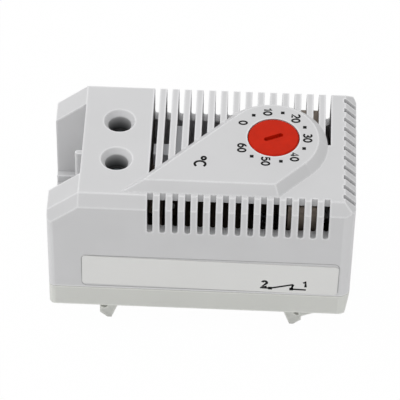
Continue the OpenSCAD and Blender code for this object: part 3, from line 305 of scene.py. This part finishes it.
metalLooks = {
    "brass": {"tone": colour(205, 168, 96), "mottle": 0.05, "grain": 0.1 * mm, "stretch": (1, 1, 9),
              "spots": 1.4 * mm, "metallic": 1.0, "roughness": 0.34, "depth": 0.003 * mm, "edge": 0.05 * mm},
    "tinnedBrass": {"tone": colour(208, 206, 202), "mottle": 0.08, "grain": 0.12 * mm, "stretch": (0.15, 1, 1),
                    "spots": 2 * mm, "metallic": 0.9, "roughness": 0.36, "depth": 0.003 * mm, "edge": 0.05 * mm,
                    "hollow": True},
    "springSteel": {"tone": colour(158, 158, 162), "mottle": 0.05, "grain": 0.1 * mm, "stretch": (1, 1, 1),
                    "spots": 1 * mm, "metallic": 1.0, "roughness": 0.32, "depth": 0.002 * mm, "edge": 0.03 * mm},
    "platedSteel": {"tone": colour(186, 188, 192), "mottle": 0.06, "grain": 0.14 * mm, "stretch": (0.2, 1, 1),
                    "spots": 1.6 * mm, "metallic": 1.0, "roughness": 0.38, "depth": 0.003 * mm, "edge": 0.05 * mm},
    "screwSteel": {"tone": colour(150, 158, 164), "mottle": 0.1, "grain": 0.1 * mm, "stretch": (1, 1, 4),
                   "spots": 1 * mm, "metallic": 0.5, "roughness": 0.5, "depth": 0.004 * mm, "edge": 0.06 * mm},
    "bimetal": {"tone": colour(140, 129, 119), "mottle": 0.2, "grain": 0.22 * mm, "stretch": (1, 0.08, 0.08),
                "spots": 3 * mm, "metallic": 0.6, "roughness": 0.52, "depth": 0.004 * mm, "edge": 0.04 * mm},
    "contactMetal": {"tone": colour(222, 222, 226), "mottle": 0.04, "grain": 0.2 * mm, "stretch": (1, 1, 1),
                     "spots": 0.8 * mm, "metallic": 1.0, "roughness": 0.24, "depth": 0.001 * mm, "edge": 0.06 * mm},
    "magnetMetal": {"tone": colour(70, 70, 74), "mottle": 0.1, "grain": 0.15 * mm, "stretch": (1, 1, 1),
                    "spots": 0.8 * mm, "metallic": 0.6, "roughness": 0.6, "depth": 0.005 * mm, "edge": 0.06 * mm},
}
materials = {name: mouldedPlastic(name, look) for name, look in plasticLooks.items()}
materials.update({name: workedMetal(name, look) for name, look in metalLooks.items()})
materials["ink"] = printedInk("ink", ink)

slotFinishes = {
    "cover_plastic": "coverPlastic", "base_plastic": "basePlastic", "label_film": "labelFilm",
    "red_plastic": "redPlastic", "nut_plastic": "nutPlastic", "dark_plastic": "darkPlastic",
    "barrier_plastic": "barrierPlastic", "dark_board": "darkBoard", "brass": "brass", "tinned_brass": "tinnedBrass",
    "spring_steel": "springSteel", "plated_steel": "platedSteel", "screw_steel": "screwSteel", "bimetal": "bimetal",
    "contact_metal": "contactMetal", "magnet_metal": "magnetMetal",
}
for part in frame["record"]["subparts"]:
    node = nodes[part["node"]]
    node.data.materials.clear()
    node.data.materials.append(materials[slotFinishes[part["material_slot"]]])
print("stage 2: finishes on the frame's nodes")


def added(name, content):
    made = bpy.data.objects.new(name, content)
    bpy.context.scene.collection.objects.link(made)
    return made


def fromPoints(name, points, faces, material):
    mesh = bpy.data.meshes.new(name)
    mesh.from_pydata(points, [], faces)
    mesh.materials.append(material)
    return added(name, mesh)


# What an object shows as a plain mesh, its place in its points; a thickness presses it flat first
def plainMesh(made, matrix, name, material, thickness=None):
    depsgraph = bpy.context.evaluated_depsgraph_get()
    mesh = bpy.data.meshes.new_from_object(made.evaluated_get(depsgraph))
    if thickness:
        tall = max(point.co.z for point in mesh.vertices)
        mesh.transform(Matrix.Diagonal((1, 1, thickness / 2 / tall, 1)))
    mesh.transform(matrix)
    mesh.materials.clear()
    mesh.materials.append(materials[material])
    piece = added(name, mesh)
    bpy.data.objects.remove(made)
    return piece


def joined(pieces, name):
    for piece in bpy.context.view_layer.objects:
        piece.select_set(piece in pieces)
    bpy.context.view_layer.objects.active = pieces[0]
    bpy.ops.object.join()
    pieces[0].name = name
    return pieces[0]


# Part of an ellipse as points, angles in degrees
def arc(x, y, radiusX, radiusY, start, end, steps=14):
    turns = [math.radians(start + (end - start) * step / steps) for step in range(steps + 1)]
    return [(x + radiusX * math.cos(turn), y + radiusY * math.sin(turn)) for turn in turns]


# Plain figures as pen strokes, 1 high from their foot; the first number is the width
strokes = {
    "0": (0.58, [arc(0.29, 0.5, 0.29, 0.5, 0, 360, 24)]),
    "1": (0.36, [[(0.02, 0.72), (0.3, 1), (0.3, 0)]]),
    "2": (0.58, [arc(0.29, 0.71, 0.28, 0.29, 165, -35) + [(0.02, 0), (0.58, 0)]]),
    "3": (0.58, [arc(0.27, 0.755, 0.25, 0.245, 150, -90) + arc(0.27, 0.265, 0.3, 0.265, 90, -150)]),
    "4": (0.6, [[(0.44, 0), (0.44, 1), (0, 0.3), (0.6, 0.3)]]),
    "5": (0.58, [[(0.52, 1), (0.1, 1), (0.04, 0.52)] + arc(0.27, 0.32, 0.3, 0.32, 130, -150)]),
    "6": (0.58, [arc(0.29, 0.32, 0.29, 0.32, 0, 360, 24), arc(0.4, 0.32, 0.4, 0.68, 180, 85)]),
    "C": (0.7, [arc(0.37, 0.5, 0.37, 0.5, 42, 318, 24)]),
    "°": (0.28, [arc(0.16, 0.82, 0.19, 0.19, 0, 360, 16)]),
}
pen = {"gap": 0.26, "roundness": 2, "closedWithin": 1e-6}


# Figures in pen strokes, their middle at the origin
def penned(words, height, weight):
    curve = bpy.data.curves.new("printedText", "CURVE")
    curve.dimensions = "3D"
    curve.bevel_depth = weight
    curve.bevel_resolution = pen["roundness"]
    curve.use_fill_caps = True
    left = (pen["gap"] - sum(strokes[sign][0] + pen["gap"] for sign in words)) / 2
    for sign in words:
        width, lines = strokes[sign]
        for stroke in lines:
            closed = math.dist(stroke[0], stroke[-1]) < pen["closedWithin"]
            points = stroke[:-1] if closed else stroke
            line = curve.splines.new("POLY")
            line.points.add(len(points) - 1)
            line.use_cyclic_u = closed
            for point, (x, y) in zip(line.points, points):
                point.co = ((left + x) * height, (y - 0.5) * height, 0, 1)
        left += width + pen["gap"]
    return added("printedText", curve)


dialScale = {"figures": 7, "step": 10, "firstAngle": 149.5, "sweep": -50, "radius": 6.86 * mm, "height": 1.5 * mm,
             "weight": 0.2 * mm, "thickness": 0.03 * mm, "dotSize": 0.72 * mm, "shift": (-0.17 * mm, 0.25 * mm)}
unitSign = {"height": 2.1 * mm, "weight": 0.24 * mm, "place": (-0.52 * mm, -6.89 * mm)}
dialLow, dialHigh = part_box("dial")
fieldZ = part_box("housing")[1][2]
scaleCentre = Vector(((dialLow[0] + dialHigh[0]) / 2, (dialLow[1] + dialHigh[1]) / 2, 0))
scaleCentre += Vector((*dialScale["shift"], 0))


# Print on the cover: a figure's top points to +X, and it reads towards -Y
def onCover(words, x, y, height, weight):
    turn = Matrix(((0, 1, 0, 0), (-1, 0, 0, 0), (0, 0, 1, 0), (0, 0, 0, 1)))
    place = Matrix.Translation((x, y, fieldZ)) @ turn
    return plainMesh(penned(words, height, weight), place, "part", "ink", dialScale["thickness"])


figures = []
for count in range(dialScale["figures"]):
    angle = math.radians(dialScale["firstAngle"] + dialScale["sweep"] * count)
    figures.append(onCover(str(count * dialScale["step"]), scaleCentre.x + dialScale["radius"] * math.cos(angle),
                           scaleCentre.y + dialScale["radius"] * math.sin(angle), dialScale["height"],
                           dialScale["weight"]))
figures.append(onCover("°C", *unitSign["place"], unitSign["height"], unitSign["weight"]))
dialFigures = joined(figures, "dialFigures")
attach(dialFigures, "case")


# A geometry tree in the making, with named inputs
class Growth(NodeTree):
    def __init__(self, name, inputs):
        self.tree = bpy.data.node_groups.new(name, "GeometryNodeTree")
        newSocket = self.tree.interface.new_socket
        newSocket("Geometry", in_out="OUTPUT", socket_type="NodeSocketGeometry")
        self.sockets = {label: newSocket(label, in_out="INPUT", socket_type=f"NodeSocket{kind}").identifier
                        for label, kind in inputs.items()}
        self.given = dict(zip(inputs, self.several("NodeGroupInput", inputs)))

    # One mesh on every point, made real and given its finish
    def scattered(self, points, mesh):
        copies = self.node("GeometryNodeInstanceOnPoints", Points=points, Instance=mesh)
        real = self.node("GeometryNodeRealizeInstances", Geometry=copies)
        dressed = self.node("GeometryNodeSetMaterial", Geometry=real, Material=self.given["Finish"])
        self.node("NodeGroupOutput", Geometry=dressed)


# Runs a geometry tree and keeps its result as a plain mesh
def grown(growth, values, matrix, name, body, material):
    seed = added("seed", bpy.data.meshes.new("seed"))
    modifier = seed.modifiers.new("grown", "NODES")
    modifier.node_group = growth.tree
    for label, value in values.items():
        modifier[growth.sockets[label]] = value
    modifier[growth.sockets["Finish"]] = materials[material]
    bpy.context.view_layer.update()
    piece = plainMesh(seed, matrix, name, material)
    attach(piece, body)


# Square dots on an arc, one between each two figures
def arcOfDots():
    growth = Growth("arcOfDots", {"Count": "Int", "Radius": "Float", "First angle": "Float", "Step angle": "Float",
                                  "Dot size": "Float", "Dot height": "Float", "Finish": "Material"})
    given = growth.given
    angle = given["First angle"] + growth.node("GeometryNodeInputIndex") * given["Step angle"]
    place = growth.node("ShaderNodeCombineXYZ", X=given["Radius"] * angle.cosine(), Y=given["Radius"] * angle.sine())
    size = growth.node("ShaderNodeCombineXYZ", X=given["Dot size"], Y=given["Dot size"], Z=given["Dot height"])
    points = growth.node("GeometryNodePoints", Count=given["Count"], Position=place)
    growth.scattered(points, growth.node("GeometryNodeMeshCube", Size=size))
    return growth


grown(arcOfDots(), {
    "Count": dialScale["figures"] - 1, "Radius": dialScale["radius"],
    "First angle": math.radians(dialScale["firstAngle"] + dialScale["sweep"] / 2),
    "Step angle": math.radians(dialScale["sweep"]),
    "Dot size": dialScale["dotSize"], "Dot height": dialScale["thickness"],
}, Matrix.Translation((scaleCentre.x, scaleCentre.y, fieldZ)), "dialDots", "case", "ink")

thread = {"pitch": 0.5 * mm, "width": 0.16 * mm, "sunk": 0.13 * mm, "shankRadius": 1.5 * mm, "headHeight": 2.4 * mm,
          "rimSteps": 32, "crestSteps": 6}


# Rings of a thread, one above another
def threadCrests():
    growth = Growth("threadCrests", {"Count": "Int", "Pitch": "Float", "Crest radius": "Float",
                                     "Crest width": "Float", "Finish": "Material"})
    given = growth.given
    step = growth.node("ShaderNodeCombineXYZ", Z=given["Pitch"])
    line = growth.node("GeometryNodeMeshLine", Count=given["Count"], Offset=step)
    rim = growth.node("GeometryNodeCurvePrimitiveCircle", Resolution=thread["rimSteps"], Radius=given["Crest radius"])
    crest = growth.node("GeometryNodeCurvePrimitiveCircle", Resolution=thread["crestSteps"],
                        Radius=given["Crest width"])
    growth.scattered(line, growth.node("GeometryNodeCurveToMesh", Curve=rim, Profile_Curve=crest))
    return growth


crests = threadCrests()
for number in (1, 2):
    low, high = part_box(f"terminal_screw_{number}")
    shankTop = high[2] - thread["headHeight"]
    grown(crests, {
        "Count": int((shankTop - low[2] - thread["pitch"]) / thread["pitch"]), "Pitch": thread["pitch"],
        "Crest radius": thread["shankRadius"] - thread["sunk"], "Crest width": thread["width"],
    }, Matrix.Translation(((low[0] + high[0]) / 2, (low[1] + high[1]) / 2, low[2] + thread["pitch"])),
        f"screwThread{number}", f"screw_{number}", "screwSteel")
print("stage 3: dial's figures and dots, threads")

# The label's contact symbol, read from the front: four lines, two dots and two numbers, by X and Z
symbol = {"line": 0.42 * mm, "thickness": 0.03 * mm, "dot": 0.78 * mm, "height": 1.6 * mm, "weight": 0.27 * mm,
          "figures": {"2": (12.95 * mm, 8.55 * mm), "1": (20.9 * mm, 8.75 * mm)},
          "left": (12.1 * mm, 7.35 * mm), "hinge": (14.1 * mm, 7.3 * mm), "tip": (18.65 * mm, 8.6 * mm),
          "stop": (18.3 * mm, 7.25 * mm), "right": (21.2 * mm, 7.15 * mm)}
labelLow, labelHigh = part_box("label_plate")


# Flat bar between two places on the label
def symbolLine(start, end, width):
    across = Vector((end[0] - start[0], end[1] - start[1]))
    side = Vector((-across.y, across.x)).normalized() * width / 2
    corners = [(start[0] + side.x, start[1] + side.y), (start[0] - side.x, start[1] - side.y),
               (end[0] - side.x, end[1] - side.y), (end[0] + side.x, end[1] + side.y)]
    points = [(x, labelLow[1] + lift * symbol["thickness"] / 2, z) for lift in (-1, 1) for x, z in corners]
    faces = [(0, 1, 2, 3), (7, 6, 5, 4), (0, 4, 5, 1), (1, 5, 6, 2), (2, 6, 7, 3), (3, 7, 4, 0)]
    return fromPoints("symbolLine", points, faces, materials["ink"])


def symbolDot(centre):
    reach = symbol["dot"] / 2
    return symbolLine((centre[0] - reach, centre[1]), (centre[0] + reach, centre[1]), symbol["dot"])


marks = [symbolLine(symbol[start], symbol[end], symbol["line"])
         for start, end in (("left", "hinge"), ("hinge", "tip"), ("tip", "stop"), ("stop", "right"))]
marks += [symbolDot(symbol["hinge"]), symbolDot(symbol["stop"])]
for figure, (x, z) in symbol["figures"].items():
    upright = Matrix(((1, 0, 0, 0), (0, 0, -1, 0), (0, 1, 0, 0), (0, 0, 0, 1)))
    marks.append(plainMesh(penned(figure, symbol["height"], symbol["weight"]),
                           Matrix.Translation((x, labelLow[1], z)) @ upright, "part", "ink", symbol["thickness"]))
contactSymbol = joined(marks, "contactSymbol")
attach(contactSymbol, "case")

# Painted shadow: a thin dark grey ring on the wall round the label's cut edge, where shade falls
labelShadowRing = {"width": 0.11 * mm, "thickness": 0.02 * mm, "radius": 1.0 * mm, "cornerSteps": 8}


# Points along a rounded box, from its lower right corner round
def roundedBox(low, high, grow):
    points = []
    for turn, (x, z) in enumerate(((high[0], low[2]), (high[0], high[2]), (low[0], high[2]), (low[0], low[2]))):
        centreX = x + labelShadowRing["radius"] * (-1 if turn < 2 else 1)
        centreZ = z + labelShadowRing["radius"] * (1 if turn in (0, 3) else -1)
        for step in range(labelShadowRing["cornerSteps"] + 1):
            angle = math.radians(90 * (turn - 1 + step / labelShadowRing["cornerSteps"]))
            reach = labelShadowRing["radius"] + grow
            points.append((centreX + reach * math.cos(angle), centreZ + reach * math.sin(angle)))
    return points


inner = roundedBox(labelLow, labelHigh, -labelShadowRing["thickness"])
outer = roundedBox(labelLow, labelHigh, labelShadowRing["width"])
wallY = labelHigh[1]
rings = [[(x, y, z) for x, z in loop] for loop in (inner, outer) for y in (wallY - labelShadowRing["thickness"], wallY)]
faces = []
for here in range(len(inner)):
    ahead = (here + 1) % len(inner)
    frontInner, backInner, frontOuter, backOuter = [
        (ring * len(inner) + here, ring * len(inner) + ahead) for ring in range(4)]
    faces += [(first[0], second[0], second[1], first[1]) for first, second in (
        (frontInner, frontOuter), (frontOuter, backOuter), (backOuter, backInner), (backInner, frontInner))]
labelPaintedShadow = fromPoints("labelPaintedShadow", [point for ring in rings for point in ring], faces, materials["labelShadowLine"])
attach(labelPaintedShadow, "case")
print("stage 4: label's contact symbol and edge line")

# Floor under the hooks, and a pale studio
studio = {"floorSize": 1.2, "floorTone": colour(250, 250, 250), "floorRoughness": 0.9, "floorShown": 0.985,
          "worldLight": 0.62, "lampSize": 0.34, "aim": (0, 0, 15 * mm),
          "lamps": {"keyLight": ((-0.30, 0, 0.54), 1.03), "frontLight": ((0, -0.50, 0.36), 0.2),
                    "backLight": ((0, 0.50, 0.36), 0.32)}}


# Camera, mirror and glass rays see plain white; the rest see paper, which keeps the shadow
def floorFinish():
    finish = Finish(bpy.data.materials.new("floorPaper"))
    finish.set("Base Color", studio["floorTone"])
    finish.set("Roughness", studio["floorRoughness"])
    paper = Value(finish.tree, finish.shader.outputs[0])
    glow = finish.node("ShaderNodeEmission", Color=(1, 1, 1, 1), Strength=1.0)
    mix = finish.node("ShaderNodeMixShader", places={0: finish.seen() * studio["floorShown"], 1: paper, 2: glow})
    finish.fill(finish.tree.nodes["Material Output"].inputs["Surface"], mix)
    return finish.material


half = studio["floorSize"] / 2
floorZ = cadBox[0][2]
corners = [(-half, -half, floorZ), (half, -half, floorZ), (half, half, floorZ), (-half, half, floorZ)]
floor = fromPoints("floor", corners, [(0, 1, 2, 3)], floorFinish())

world = bpy.data.worlds.new("studio")
bpy.context.scene.world = world
sky = Finish(world, "Background")
sky.set("Color", (1, 1, 1, 1))
sky.set("Strength", sky.seen() * (1 - studio["worldLight"]) + studio["worldLight"])

for name, (place, energy) in studio["lamps"].items():
    lamp = bpy.data.lights.new(name, "AREA")
    lamp.shape = "SQUARE"
    lamp.size = studio["lampSize"]
    lamp.energy = energy
    softbox = added(name, lamp)
    softbox.location = place
    softbox.rotation_euler = (Vector(studio["aim"]) - Vector(place)).to_track_quat("-Z", "Y").to_euler()

# The photograph's camera, worked out from the object's own edges; angles in degrees, lengths in metres
camera = {"place": (9.0355 * mm, -373.69 * mm, 416.436 * mm), "tilt": 47.096, "roll": 1.474, "pan": 1.113,
          "focalPixels": 2732.87, "imagePixels": 400, "nearest": 0.01, "farthest": 10}


def cameraTurn():
    lookAlong = Matrix(((1, 0, 0), (0, 0, -1), (0, 1, 0)))
    pan = Matrix.Rotation(math.radians(camera["pan"]), 3, "Z")
    tilt = Matrix.Rotation(math.radians(camera["tilt"]), 3, "X")
    roll = Matrix.Rotation(math.radians(camera["roll"]), 3, "Y")
    rows = pan @ tilt @ roll @ lookAlong
    return Matrix((rows[0], -rows[1], -rows[2])).transposed()


lens = bpy.data.cameras.new("camera")
lens.sensor_fit = "HORIZONTAL"
lens.angle = 2 * math.atan(camera["imagePixels"] / 2 / camera["focalPixels"])
lens.clip_start = camera["nearest"]
lens.clip_end = camera["farthest"]
viewer = added("camera", lens)
viewer.matrix_world = Matrix.Translation(camera["place"]) @ cameraTurn().to_4x4()
bpy.context.scene.camera = viewer
bpy.context.scene.view_settings.view_transform = "Standard"
print("stage 5: studio and camera")
